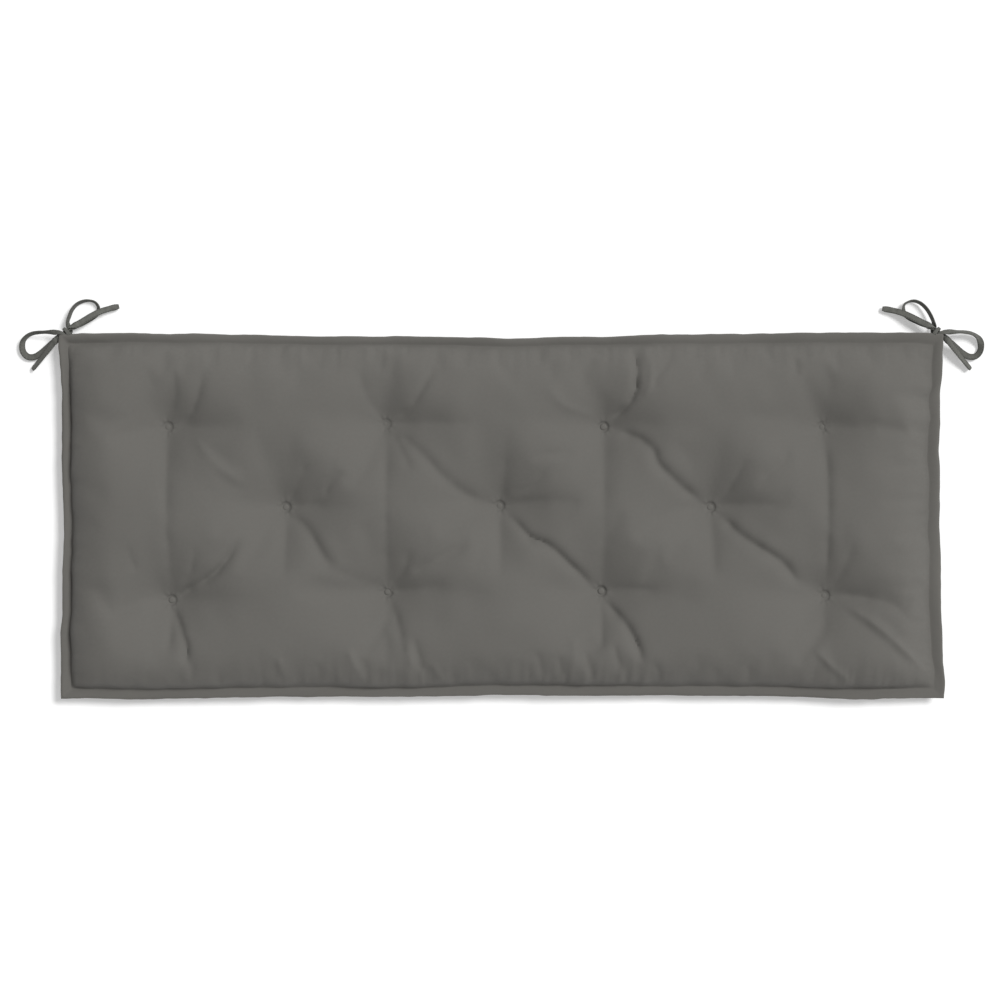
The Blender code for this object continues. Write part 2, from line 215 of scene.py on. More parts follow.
def overRows(turns):
    # once round the knot, round the outer loop, back through the knot, out as the inner tail
    loop = (((-21.8, 16.4, 0), (0.17, 0.3)), ((-30, 22.2, -3.6), (0.17, 0.34)),
            ((-38.4, 26.6, -7.6), (0.1, 0.37)), ((-46.5, 28, -10.8), (-0.05, 0.4)),
            ((-54, 26.4, -13.4), (-0.3, 0.45)), ((-60, 21.2, -15.2), (-0.6, 0.45)),
            ((-63.4, 13.6, -16.2), (-0.9, 0.1)), ((-62, 5.4, -17), (-0.8, -0.5)),
            ((-56, 0.4, -16.8), (-0.4, -0.9)), ((-46.5, -1.6, -14.4), (0, -1)), ((-34.5, -1.6, -9.4), (0, -1)))
    return [
        ((3, -7.2, 6.5), (1, 0.1, 0), 5.4), ((3.4, -4.8, 6.5), (1, 0.1, 0), 5.4), ((3.4, -2.4, 6.3), (1, 0, 0), 5),
        *wrapRows(),
        ((-6.2, 3.8, 5.4), (0.8, 0.5, 0), 5.8),
        ((-10.2, 7.2, 4.2), (0.65, 0.65, 0.3 * turns[0]), 7.2),
        ((-15, 11.2, 2.4), (0.3, 0.45, 0.7 * turns[0]), 8.4),
        *[(place, (*lean, turn), 9) for (place, lean), turn in zip(loop, turns)],
        ((-24, -1.3, -3.6), (0, -1, 0), 9),
        *laneRows(1, 1),
        ((22.5, -1.9, -0.4), (0, 1, -0.1), 9), ((31, -2.6, -1.8), (0, 1, -0.2), 9),
        ((42.5, -3.6, -4.2), (0, 1, -0.15), 9), ((53, -5, -7.8), (0, 1, -0.1), 8.8),
        ((64.9, -8.4, -12.6), (0, 1, -0.1), 8.2), ((77.4, -13.4, -15.8), (0, 1, -0.1), 7.2),
        ((79.2, -14.2, -16), (0, 1, -0.1), 5.8),
    ]


def slopeAt(values, spans, i):
    # the slope of a smooth curve at row i
    if i == 0:
        return (values[1] - values[0]) / spans[0]
    if i == len(spans):
        return (values[-1] - values[-2]) / spans[-1]
    back = (values[i] - values[i - 1]) / spans[i - 1]
    ahead = (values[i + 1] - values[i]) / spans[i]
    return (back * spans[i] + ahead * spans[i - 1]) / (spans[i - 1] + spans[i])


def smoothAt(values, spans, i, share):
    # a share of the way from row i to the next
    start, end = slopeAt(values, spans, i) * spans[i], slopeAt(values, spans, i + 1) * spans[i]
    s2, s3 = share**2, share**3
    return (values[i] * (2 * s3 - 3 * s2 + 1) + start * (s3 - 2 * s2 + share)
            + values[i + 1] * (3 * s2 - 2 * s3) + end * (s3 - s2))


def stripRings(places, turns, widths):
    # rings of a flattened section along the route, their (run, across) marks in metres, and the centre line
    spans = [(b - a).length for a, b in zip(places, places[1:])]
    steps = [(i, s / tie["steps"]) for i in range(len(spans)) for s in range(tie["steps"])]
    steps.append((len(spans) - 1, 1.0))
    centres = [smoothAt(places, spans, i, s) for i, s in steps]
    roundWide, roundTall = tie["section"]
    rings, marks, run = [], [], 0.0
    for n, (i, s) in enumerate(steps):
        ahead = (centres[min(n + 1, len(centres) - 1)] - centres[max(n - 1, 0)]).normalized()
        across = smoothAt(turns, spans, i, s)
        across = (across - ahead * across.dot(ahead)).normalized()
        normal = ahead.cross(across)
        half, thick = smoothAt(widths, spans, i, s) / 2, tie["thick"] / 2
        if n:
            run += (centres[n] - centres[n - 1]).length
        end = tie["endThin"] if n == len(steps) - 1 else 1.0
        ring = []
        for k in range(tie["sides"]):
            angle = math.tau * k / tie["sides"]
            c, z = math.cos(angle), math.sin(angle)
            wide = math.copysign(abs(c) ** roundWide, c) * half
            tall = math.copysign(abs(z) ** roundTall, z) * thick * end
            ring.append(centres[n] + across * wide + normal * tall)
            marks.append((run * mm, wide * mm))
        rings.append(ring)
    return rings, marks, centres, run


def addTie(name, node, rows, bow):
    sideways, backwards = tie["slant"]
    along = Vector((-bow["side"] * sideways, backwards, 0))
    out = Vector((bow["side"] * backwards, sideways, 0))
    knot = Vector((*bow["knot"], tie["knotUp"]))
    places, turns, widths = [], [], []
    for (a, o, up), (wayAlong, wayOut, wayUp), width in rows:
        o += bow["swing"] * max(0.0, a - laneTurns[-1][0])
        if abs(a) > tie["dropFrom"]:
            up *= tie["drop"]
        places.append(knot + along * a + out * o + Vector((0, 0, up)))
        turns.append((along * wayAlong + out * wayOut + Vector((0, 0, wayUp))).normalized())
        widths.append(width)
    rings, marks, centres, run = stripRings(places, turns, widths)

    sides = tie["sides"]
    faces = []
    for n in range(len(rings) - 1):
        for k in range(sides):
            here, there = n * sides + k, n * sides + (k + 1) % sides
            faces.append((here, there, there + sides, here + sides))
    faces.append(tuple(reversed(range(sides))))
    faces.append(tuple(range((len(rings) - 1) * sides, len(rings) * sides)))
    strip = newMesh(name, [p * mm for ring in rings for p in ring], faces)
    stripMap = strip.data.uv_layers.new(name="alongStrip")
    for loop in strip.data.loops:
        stripMap.data[loop.index].uv = marks[loop.vertex_index]
    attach(strip, "root")
    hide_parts(node)
    return strip


strips = []
for where, bow in bows.items():
    strips.append(addTie(where + "UnderTie", "tie_" + where + "_under", underRows(bow["innerLoop"]), bow))
    strips.append(addTie(where + "OverTie", "tie_" + where + "_over", overRows(bow["outerTurn"]), bow))
print("ties made")


# cushion
cushion = {
    "cells": (192, 76),          # of the upper panel, before it is subdivided once
    "crowding": (0.10, 0.16),    # moves grid lines towards the seams
    "half": (600, 249), "planHalf": (587, 235),     # the whole cushion, and its grid before it meets the seam
    "seamUp": 26, "cornerDrop": 3,
    "top": 60.5,                 # of the filling, before the cover is blown up
    "shoulder": {"left": 67, "right": 98, "back": 100, "front": 54},
    "roundness": {"left": 0.54, "right": 0.85, "back": 0.85, "front": 0.5},    # 0.5 is round, 1 slopes
    "lumps": ((1.6, 0.031, 0.4),),
    "tuftRows": (121, -107), "tuftSeat": 31, "tuftSpread": (138, 108),
    "tuftSoft": ((5, 5, -10, 30), (5, 15, -4, 34)),         # (least, more, from, over) across and down
    "underShoulder": 58, "underLift": 6, "underLiftReach": 22,
    "creaseBefore": (0.9, 1), "creaseAfter": (0.5, 0.6),    # depth and width shares, before the filling and after
    "fill": 0.72,
}
blowing = {
    "hold": 6.5, "frames": 24, "cap": 9,
    "give": (0.4, 0.6), "leftHold": 0.8,    # share of the movement kept at the shoulder and inside, lost on the left
    "cloth": {"quality": 6, "mass": 0.3, "tension_stiffness": 20, "compression_stiffness": 20,
              "shear_stiffness": 5, "bending_stiffness": 1.5, "tension_damping": 8, "compression_damping": 8,
              "shear_damping": 8, "air_damping": 2, "vertex_group_mass": "held", "use_pressure": True,
              "uniform_pressure_force": 4, "shrink_min": -0.011, "shrink_max": -0.011},
}
hem = {
    "thick": 2.4, "pinch": {"left": 4.2, "right": 1.1, "back": 1.7, "front": -0.1},
    "wander": ((-0.4, 0.061, 1), (-0.25, 0.142, 2.3)),      # of the seam
    "lumps": ((1, 0.021, 5), (0.7, 0.06, 9), (0.7, 0.12, 2)),
    "cornerTrim": 0.8, "trimReach": 13, "calm": (8, 60),    # by distance from the knots
    "waves": ((0.9, 0.19, 0), (0.7, 0.071, 1), (0.5, 0.41, 2)),
    "droop": 0.2, "waveDroop": 1.1, "backDroop": -1.2, "leftDroop": -1.4,
    "layers": ((0.6, 0.057, 0.6), (0.4, 0.133, 0)),
    "falls": {0.10: 0.9, 0.35: 0.38, 0.62: 0.1},            # how far it falls to the seam, by share of its width
}
sideOf = {"left": (0, -1), "right": (0, 1), "back": (1, 1), "front": (1, -1)}   # axis and sign of outwards

# outer edge of the flange in mm: (place along the side, how far out)
outline = {
    "back": ((-600, 247.4), (-560, 248.8), (-519, 249.2), (-410, 248.1), (-356, 247.4), (-302, 245.8),
             (-247, 244.4), (-138, 245.2), (-84, 243.9), (-30, 242.9), (25, 241.3), (79, 244.7), (134, 243.3),
             (188, 246.6), (243, 247.6), (297, 248), (351, 248.3), (406, 249.7), (515, 249.9), (570, 249.4),
             (600, 248)),
    "front": ((-600, 248.6), (-519, 248.6), (-465, 249.9), (-410, 247.8), (-356, 247.2), (-302, 246),
              (-84, 245.7), (-30, 244), (0, 243.1), (25, 243.6), (79, 244.2), (351, 244.9), (406, 246.5),
              (460, 249.9), (515, 248.3), (560, 247.8), (600, 248.6)),
    "left": ((-249, 600.2), (-230, 599.6), (-148, 600.2), (-128, 597.8), (-67, 598), (-46, 596), (-5, 596.1),
             (15, 597.1), (35, 597.9), (56, 599.3), (158, 598.4), (178, 600), (196, 601.3), (208, 602.3),
             (218, 603.9), (249, 603)),
    "right": ((-249, 602.8), (-230, 602.8), (-209, 603.7), (-189, 600.1), (-148, 599.1), (-128, 597.7),
              (-46, 597.9), (-26, 595.8), (56, 596.2), (76, 594.2), (97, 595.1), (117, 597.4), (158, 596.5),
              (178, 599.6), (215, 600.6), (240, 603), (249, 603.2)),
}

# width of the flange in mm: (place along the side, width)
flange = {
    "back": ((-600, 13.5), (-520, 12.6), (-350, 12), (-240, 11.4), (150, 11.2), (200, 12.6), (420, 13.6),
             (560, 14.4), (600, 15)),
    "front": ((-600, 13.5), (-220, 13.2), (-160, 11.2), (-120, 11.2), (-92, 13.4), (380, 13.4), (430, 14.2),
              (520, 13.6), (600, 13.5)),
    "left": ((-249, 13.3), (-100, 11.7), (-30, 10.8), (20, 10.8), (70, 12.4), (185, 11.9), (215, 12.3),
             (249, 12.1)),
    "right": ((-249, 14.4), (-205, 14.7), (-150, 16), (-30, 15.8), (30, 14.7), (100, 15.2), (118, 16.4),
              (124, 17), (130, 13.2), (142, 14.6), (160, 16.6), (166, 16.8), (174, 13.2), (188, 14.6),
              (249, 14.9)),
}

# a tuft is (place, how open the pocket round its button is), and a lap is the side where cloth laps over the button
tufts = {
    "back_1": (-453, 121, 0.8), "back_2": (-157, 125, 0.55), "back_3": (138, 121, 1), "back_4": (435, 121, 0.7),
    "middle_1": (-293, 12, 0.9), "middle_2": (-3, 14, 0.8), "middle_3": (283, 12, 0.9),
    "front_1": (-448, -114, 0.8), "front_2": (-155, -103, 0.9), "front_3": (135, -102, 1.1),
    "front_4": (438, -108, 0.7),
}
laps = {"back_4": 20, "front_2": 60}
columns = [(f"back_{n}", f"front_{n}") for n in (1, 2, 3, 4)] + [(f"middle_{n}", f"middle_{n}") for n in (1, 2, 3)]
pocket = {
    "above": 12, "reach": 12.5, "blend": 26, "wall": (8.2, -2), "depth": 1.7,
    "lip": 0.2, "lipAt": 10.5, "lipWide": 3, "lap": (0.35, 0.4), "lapStart": (2.5, 2),
    "pleats": 9, "pleatDeep": 0.2, "pleatTurn": 1.7, "pleatStart": (5.5, 3), "pleatEnd": (21.5, -12),
}

# creases in mm: (depth, half width on the left of the travel, on its right, sharpness, points...).
# Travel is to the right or down, a depth below 0 is a ridge, sharpness 1 is a sharp line and 2 a soft one
creases = (
    # drawn in beside the middle of the left seam
    (3.4, 13, 8, 1.6, (-586, 75), (-587, 30), (-587, -20), (-586, -80)),
    # the filling stands a little higher before it falls to the right seam
    (-2.2, 36, 30, 2, (545, 225), (546, 110), (546, 0), (546, -110), (545, -225)),
    # straight down and across from the tufts
    (2.5, 12, 14, 1.1, (-454, 112), (-453, 49), (-451, -19), (-448, -103)),
    (2.4, 12, 14, 1.1, (-156, 116), (-156, 49), (-156, -19), (-156, -94)),
    (2.1, 12, 14, 1.1, (138, 112), (138, 49), (138, -19), (136, -94)),
    (2.9, 6, 12, 1.3, (437, 112), (440, 63), (440, -5), (440, -53), (439, -95)),
    (1.6, 10, 14, 1.1, (-292, 3), (-292, -40), (-293, -86)),
    (1.6, 10, 14, 1.1, (-4, 4), (-2, -40), (-1, -86)),
    (1.6, 10, 14, 1.1, (285, 3), (286, -40), (287, -86)),
    (1.4, 9, 9, 1.2, (-151, 124), (-111, 124), (-68, 125), (-30, 128)),
    (1, 9, 9, 1.2, (-449, 120), (-411, 120), (-367, 121)),
    (1, 12, 9, 1.3, (443, 119), (487, 117), (528, 115), (558, 117)),
    (1.2, 8, 8, 1.2, (-287, 14), (-263, 14), (-235, 16)),
    (1.5, 9, 8, 1.3, (2, 17), (32, 19), (68, 20), (112, 18)),
    (1.3, 9, 8, 1.3, (289, 15), (321, 15), (354, 15), (387, 13)),
    (1.2, 9, 9, 1.2, (-151, -103), (-111, -98), (-73, -92)),
    (1.2, 9, 9, 1.2, (140, -101), (175, -98), (215, -103)),
    # folds that run down to the right between tufts
    (2.9, 9, 15, 1.4, (-152, 120), (-134, 107), (-113, 89), (-96, 72), (-77, 51), (-50, 31), (-23, 19), (-6, 15)),
    (1.8, 6, 9, 1.5, (-149, 114), (-141, 101), (-132, 83), (-121, 60)),
    (4.8, 6, 10, 1.4, (142, 116), (166, 112), (188, 103), (205, 88), (211, 71), (228, 54), (246, 38), (263, 25),
     (277, 14)),
    (3, 7, 12, 1.5, (-288, 7), (-277, -4), (-264, -15), (-252, -34), (-238, -57), (-225, -73)),
    (1.3, 11, 14, 1.6, (-236, -56), (-222, -73), (-195, -84), (-171, -92), (-159, -101)),
    (6.4, 4, 6, 1.4, (1, 7), (14, -4), (25, -14), (38, -28), (53, -34), (71, -45), (90, -63), (108, -80),
     (123, -97), (133, -102)),
    (5, 6, 11, 1.4, (288, 6), (305, -8), (320, -23), (339, -37), (359, -49), (377, -61), (390, -75), (400, -90),
     (408, -97)),
    (-1.4, 7, 7, 1.6, (-414, 108), (-400, 87), (-386, 71), (-372, 60), (-356, 48), (-340, 42)),
    # below the front row
    (3.8, 4, 8, 1.4, (-446, -122), (-438, -139), (-430, -158), (-425, -175), (-424, -201)),
    (1.2, 5, 7, 1.5, (-449, -122), (-447, -148), (-449, -180)),
    (2.8, 6, 12, 1.4, (-153, -112), (-145, -129), (-139, -147), (-134, -169), (-131, -190)),
    (2.2, 5, 6, 1.5, (-122, -159), (-115, -176), (-110, -197), (-107, -213)),
    (-1.6, 5, 5, 1.6, (-97, -196), (-87, -211), (-76, -226)),
    (5.8, 5, 8, 1.4, (138, -110), (149, -125), (164, -141), (174, -156), (184, -177), (192, -203)),
    (1, 4, 6, 1.4, (134, -112), (135, -148), (135, -182)),
    (2.5, 9, 7, 1.4, (442, -105), (467, -108), (496, -112), (523, -119), (541, -130), (556, -144)),
    (-3, 5, 5, 1.6, (454, -115), (482, -131), (508, -150), (534, -173), (560, -197), (578, -217)),
    (1.1, 6, 8, 1.5, (454, -122), (479, -141), (507, -163), (530, -182), (556, -209)),
    (0.9, 5, 7, 1.5, (503, -129), (517, -141), (529, -151), (545, -165)),
    # above the back row
    (2.4, 6, 8, 1.5, (-405, 196), (-406, 177), (-412, 155), (-424, 133), (-440, 125)),
    (0.7, 6, 8, 1.5, (-443, 196), (-440, 177), (-443, 155), (-450, 133)),
    (2.4, 6, 8, 1.5, (-91, 202), (-98, 186), (-108, 170), (-116, 156), (-128, 142), (-149, 131)),
    (1.6, 8, 8, 1.6, (-195, 201), (-190, 180), (-182, 160), (-171, 144), (-161, 132)),
    (5.6, 3.4, 5, 1.4, (178, 233), (183, 205), (183, 181), (177, 160), (165, 144), (142, 129)),
    (-1.8, 6, 5, 1.6, (198, 222), (202, 200), (200, 178), (190, 156)),
    (-1.8, 8, 8, 1.6, (60, 180), (71, 162), (87, 148), (109, 140), (130, 132)),
    (1.4, 4, 5, 1.6, (221, 231), (228, 218), (221, 201), (210, 188), (202, 169)),
    (1.2, 4, 5, 1.6, (396, 215), (399, 201), (400, 188)),
    # up to the right from the tufts
    (1.6, 4, 6, 1.5, (-238, 24), (-235, 42), (-225, 52), (-213, 61)),
    (1.2, 8, 8, 1.6, (-288, 19), (-274, 49), (-261, 73)),
    (1.2, 8, 8, 1.6, (0, 19), (2, 49), (6, 83)),
    (1.6, 5, 6, 1.5, (11, 30), (38, 40), (49, 49), (60, 65)),
    (1.2, 5, 6, 1.5, (36, 75), (60, 84), (87, 86), (98, 98)),
    (2, 6, 7, 1.5, (287, 18), (304, 33), (317, 54), (330, 79)),
    (1.2, 6, 7, 1.5, (347, 52), (365, 63), (379, 76), (389, 90)),
    (5, 5, 6, 1.5, (-446, -112), (-424, -99), (-402, -87), (-383, -73), (-368, -54), (-353, -30)),
    (1.6, 5, 6, 1.5, (-434, -92), (-421, -77), (-416, -57), (-414, -38)),
    (1.8, 6, 7, 1.5, (-152, -98), (-141, -84), (-130, -68), (-125, -43)),
    (1.4, 8, 8, 1.6, (-125, -79), (-97, -63), (-70, -50), (-40, -37)),
    (1.8, 9, 9, 1.6, (444, -101), (457, -80), (468, -54), (474, -33)),
    (1, 5, 7, 1.6, (-504, -38), (-499, -57), (-492, -76)),
    # gathers along the front seam
    (-2, 5, 6, 1.6, (-207, -176), (-200, -195), (-192, -212), (-186, -226)),
    (-1.6, 4, 5, 1.6, (-127, -170), (-123, -190), (-119, -208)),
    (1.8, 4, 6, 1.6, (46, -180), (52, -199), (60, -220)),
    (1.5, 4, 5, 1.6, (76, -186), (79, -200), (82, -218)),
    (-1.6, 4, 5, 1.6, (96, -162), (98, -184), (99, -206)),
    (1.8, 4, 5, 1.6, (112, -178), (117, -200), (123, -222)),
    (1.8, 5, 6, 1.6, (150, -170), (157, -192), (164, -214)),
    (1.5, 5, 6, 1.6, (206, -196), (212, -212), (216, -226)),
    (-1.6, 5, 6, 1.6, (-300, -190), (-296, -206), (-293, -222)),
    (-2.4, 6, 6, 1.6, (420, -176), (437, -196), (457, -214), (474, -228)),
    (1.6, 5, 6, 1.6, (-250, -196), (-247, -210), (-245, -226)),
    (1.4, 5, 6, 1.6, (330, -200), (334, -212), (337, -226)),
)
creaseForm = {"reach": 4, "fade": 0.22, "uneven": (0.16, 0.11), "finer": (0.1, 0.27, 0)}

# small gathers along the seams: (place along the side, height) rows and how far in they reach, in mm
puckers = {
    "back": (((-600, 0.8), (-440, 1), (-300, 2.2), (-160, 2), (0, 1.4), (100, 2.4), (260, 1.8), (430, 1),
              (600, 1.2)), 26),
    "front": (((-600, 0.6), (-350, 0.8), (-250, 2.6), (-80, 3), (0, 1.4), (50, 3), (195, 2.8), (240, 0.8),
               (390, 0.8), (430, 2), (500, 1.6), (600, 1)), 30),
    "left": (((-250, 1.6), (0, 1.4), (250, 1.4)), 16),
    "right": (((-250, 1.8), (0, 2.2), (250, 1.8)), 14),
}
puckerForm = {"broad": (0.085, 0.013), "fine": (0.19, 0.02), "fineShare": 0.6, "start": 7}


def gridShares(count, crowding):
    t = np.linspace(-1, 1, count + 1)
    return t * (1 + crowding - crowding * t * t)


def seamSides():
    # the seam line lies inside the outline by the width of the flange, with a little unevenness
    def line(side, sign, number):
        wander = [(high, often, shift * number) for high, often, shift in hem["wander"]]
        return lambda p: sign * waves(p, wander, rowBlend(outline[side], p) - rowBlend(flange[side], p))
    return {side: line(side, sign, number) for number, (side, (_, sign)) in enumerate(sideOf.items(), 1)}


def panelPlan():
    # plan places of the upper panel's grid, with its lines led through the tufts
    nx, ny = cushion["cells"]
    halfX, halfY = cushion["planHalf"]
    backRow, frontRow = cushion["tuftRows"]
    u, v = gridShares(nx, cushion["crowding"][0]), gridShares(ny, cushion["crowding"][1])
    uu, vv = np.meshgrid(u, v)
    x, y = uu * halfX, vv * halfY
    lead = [(0, -halfX, -halfX), (nx, halfX, halfX)]
    for upper, lower in columns:
        wanted = (tufts[upper][0] + tufts[lower][0]) / 2
        lead.append((int(np.argmin(abs(u * halfX - wanted))), tufts[upper][0], tufts[lower][0]))
    column, above, below = np.array(sorted(lead), float).T
    for j in range(ny + 1):
        down = np.clip((backRow - y[j, 0]) / (backRow - frontRow), 0, 1)
        x[j] = np.interp(np.arange(nx + 1), column, above + (below - above) * down)
    sides = seamSides()
    nearLeft, nearRight = smoothStep(-x / halfX) ** 2, smoothStep(x / halfX) ** 2
    nearBack, nearFront = smoothStep(y / halfY) ** 2, smoothStep(-y / halfY) ** 2
    sx = x + nearLeft * (sides["left"](y) + halfX) + nearRight * (sides["right"](y) - halfX)
    sy = y + nearBack * (sides["back"](x) - halfY) + nearFront * (sides["front"](x) + halfY)
    return uu, vv, sx, sy


def shoulderRise(u, v, widths):
    # 0 at the seam and 1 inside, over the given width for each side
    roundness = cushion["roundness"]
    if not isinstance(widths, dict):
        widths, roundness = dict.fromkeys(roundness, widths), dict.fromkeys(roundness, 0.5)
    rise = np.ones_like(u)
    for share, half, (low, high) in zip((u, v), cushion["half"], (("left", "right"), ("front", "back"))):
        width = np.where(share < 0, widths[low], widths[high])
        missing = 1 - np.minimum((1 - abs(share)) * half / width, 1.0)
        power = np.where(share < 0, roundness[low], roundness[high])
        rise = rise * np.maximum(0.0, 1 - missing * missing) ** power
    return rise


def seamHeight(u, v):
    return cushion["seamUp"] - cushion["cornerDrop"] * (u * v) ** 6


def seamPinch(u, v):
    # how far the seam is drawn in below the flange, by side
    pinch = hem["pinch"]
    bySide = pinch["right"] + (pinch["back"] - pinch["right"]) * ease(v, 0.7, 0.25)
    bySide += (pinch["left"] - bySide) * ease(-u, 0.86, 0.1)
    offLeftCorner = 1 - 0.7 * ease(-u, 0.95, 0.05)
    return bySide + (pinch["front"] - bySide) * ease(-v, 0.75, 0.2) * offLeftCorner


def crownHeight(u, v, x, y):
    base = seamHeight(u, v) - seamPinch(u, v)
    height = (cushion["top"] - base) * shoulderRise(u, v, cushion["shoulder"])
    spreadX, spreadY = cushion["tuftSpread"]
    (leastX, moreX, *riseX), (leastY, moreY, *riseY) = cushion["tuftSoft"]
    for tx, ty, _ in tufts.values():
        # sharp below and on the right of a tuft, soft above and on its left
        softX = leastX + moreX * ease(y - ty, *riseX)
        softY = leastY + moreY * ease(tx - x, *riseY)
        away = (np.hypot(x - tx, softX) - softX) / spreadX + (np.hypot(y - ty, softY) - softY) / spreadY
        pull = np.maximum(0.0, 1 - away) ** 2
        height = height - np.maximum(0.0, base + height - cushion["tuftSeat"]) * pull
    height += lumps(zip(x, y), cushion["lumps"]) * smoothStep(shoulderRise(u, v, 30.0))
    return base + np.maximum(height, 0.0)


def underHeight(u, v, x, y):
    # flat where it rests, lifted a little under each tuft
    base = seamHeight(u, v) - hem["thick"] / 2 - 0.8 * seamPinch(u, v)
    lift = np.zeros_like(x)
    for tx, ty, _ in tufts.values():
        near = np.maximum(0.0, 1 - np.hypot(x - tx, y - ty) / cushion["underLiftReach"])
        lift = np.maximum(lift, cushion["underLift"] * near ** 1.5)
    return base * (1 - shoulderRise(u, v, cushion["underShoulder"])) + lift


def gridFaces(nx, ny, start=0, flip=False):
    faces = []
    for j in range(ny):
        for i in range(nx):
            a = start + j * (nx + 1) + i
            quad = (a, a + 1, a + nx + 2, a + nx + 1)
            faces.append(tuple(reversed(quad)) if flip else quad)
    return faces


def borderLoop(nx, ny, start=0):
    # grid points round the border, anticlockwise seen from above
    grid = start + np.arange((nx + 1) * (ny + 1)).reshape(ny + 1, nx + 1)
    return np.concatenate([grid[0, :-1], grid[:-1, -1], grid[-1, :0:-1], grid[:0:-1, 0]]).tolist()


def fillPanel(points, shares):
    # blows the upper panel up as cloth, held at the seam and at the tufts
    nx, ny = cushion["cells"]
    cloth = newMesh("fillTrial", points * mm, gridFaces(nx, ny))
    held = cloth.vertex_groups.new(name="held")
    tuftNear = np.min([np.hypot(points[:, 0] - t[0], points[:, 1] - t[1]) for t in tufts.values()], axis=0)
    for group in (borderLoop(nx, ny), np.nonzero(tuftNear < blowing["hold"])[0]):
        held.add([int(k) for k in group], 1.0, "REPLACE")
    pickOnly(cloth)
    modifier = cloth.modifiers.new("Cloth", "CLOTH")
    for name, value in blowing["cloth"].items():
        setattr(modifier.settings, name, value)
    modifier.settings.effector_weights.gravity = 0.0
    modifier.collision_settings.use_collision = False
    modifier.point_cache.frame_start, modifier.point_cache.frame_end = 1, blowing["frames"]
    scene = bpy.context.scene
    for number in range(1, blowing["frames"] + 1):
        scene.frame_set(number)
    graph = bpy.context.evaluated_depsgraph_get()
    blown = cloth.evaluated_get(graph).to_mesh()
    move = pointsOf(blown) / mm - points
    scene.frame_set(1)
    bpy.data.objects.remove(cloth, do_unlink=True)

    inside = smoothStep(shoulderRise(*shares, 50.0))
    byLeft = 1 - ease(points[:, 0], -590, 70)
    atShoulder, within = blowing["give"]
    move *= ((atShoulder * (1 - inside) + within * inside) * (1 - blowing["leftHold"] * byLeft))[:, None]
    far = np.linalg.norm(move, axis=1)
    print("cloth moved up to", round(float(far.max()), 1), "mm, mean", round(float(far.mean()), 1))
    move *= (np.minimum(far, blowing["cap"]) / np.maximum(far, 1e-6))[:, None]
    return points + move


def smoothLine(points, steps=6):
    # a smooth line through the points
    points = np.array(points, float)
    padded = np.vstack([2 * points[0] - points[1], points, 2 * points[-1] - points[-2]])
    line = []
    for i in range(1, len(padded) - 2):
        p0, p1, p2, p3 = padded[i - 1:i + 3]
        for s in np.arange(steps) / steps:
            line.append(0.5 * (2 * p1 + (p2 - p0) * s + (2 * p0 - 5 * p1 + 4 * p2 - p3) * s**2
                               + (3 * p1 - p0 - 3 * p2 + p3) * s**3))
    line.append(points[-1])
    return np.array(line)


def creaseDepth(places, row, shares):
    # which places a crease touches, and how far it moves them up
    deep, left, right, sharpness = row[:4]
    deep, left, right = deep * shares[0], left * shares[1], right * shares[1]
    line = smoothLine(row[4:])
    reach = creaseForm["reach"] * max(left, right)
    low, high = line.min(axis=0) - reach, line.max(axis=0) + reach
    near = np.nonzero(np.all((places > low) & (places < high), axis=1))[0]
    p = places[near]
    spans = np.diff(line, axis=0)
    lengths = np.linalg.norm(spans, axis=1)
    starts = np.concatenate([[0], np.cumsum(lengths)])
    best, side, along = np.full(len(p), 1e9), np.zeros(len(p)), np.zeros(len(p))
    for start, span, length, before in zip(line, spans, lengths, starts):
        offset = p - start
        share = np.clip(offset @ span / length**2, 0, 1)
        away = offset - share[:, None] * span
        distance = np.linalg.norm(away, axis=1)
        closer = distance < best
        best[closer] = distance[closer]
        side[closer] = np.sign(span[0] * away[:, 1] - span[1] * away[:, 0])[closer]
        along[closer] = ((before + share * length) / starts[-1])[closer]
    level = smoothStep(along / creaseForm["fade"]) * smoothStep((1 - along) / creaseForm["fade"])
    level *= waves(along * starts[-1], ((*creaseForm["uneven"], line[0, 0]), creaseForm["finer"]), 1.0)
    width = np.where(side > 0, left, right)
    return near, -deep * level * np.exp(-((best / width) ** sharpness))


def creaseField(places, shares):
    field = np.zeros(len(places))
    for row in creases:
        near, depth = creaseDepth(places, row, shares)
        field[near] += depth
    return field


def refineTufts(cover):
    # finer faces round each button for its pocket
    def inPocket(face):
        x, y, z = face.center / mm
        return z > pocket["above"] and min(math.hypot(x - t[0], y - t[1]) for t in tufts.values()) < pocket["reach"]

    mesh = cover.data
    pickOnly(cover)
    pickFaces(cover, inPocket)
    bpy.ops.mesh.subdivide(number_cuts=2, smoothness=0)
    bpy.ops.object.mode_set(mode="OBJECT")
    points = pointsOf(mesh) / mm
    for number, (where, (tx, ty, width)) in enumerate(tufts.items()):
        far = np.hypot(points[:, 0] - tx, points[:, 1] - ty)
        near = np.nonzero((far < pocket["blend"]) & (points[:, 2] > pocket["above"]))[0]
        dx, dy = points[near, 0] - tx, points[near, 1] - ty
        r, angle = np.hypot(dx, dy), np.arctan2(dy, dx)
        depth = pocket["depth"] * width * ease(r, *pocket["wall"])
        if where in laps:
            facing = np.cos(angle - math.radians(laps[where]))
            depth = depth * (1 - ease(facing, *pocket["lap"]) * ease(r, *pocket["lapStart"]))
        pleats = pocket["pleats"]
        pleat = np.cos(pleats * angle + pocket["pleatTurn"] * number) + 0.6 * np.cos((pleats - 3) * angle + number)
        pleat *= pocket["pleatDeep"] * ease(r, *pocket["pleatStart"]) * ease(r, *pocket["pleatEnd"])
        lip = pocket["lip"] * np.exp(-(((r - pocket["lipAt"]) / pocket["lipWide"]) ** 2)) * width
        points[near, 2] += lip + pleat - depth
    placePoints(mesh, points * mm)


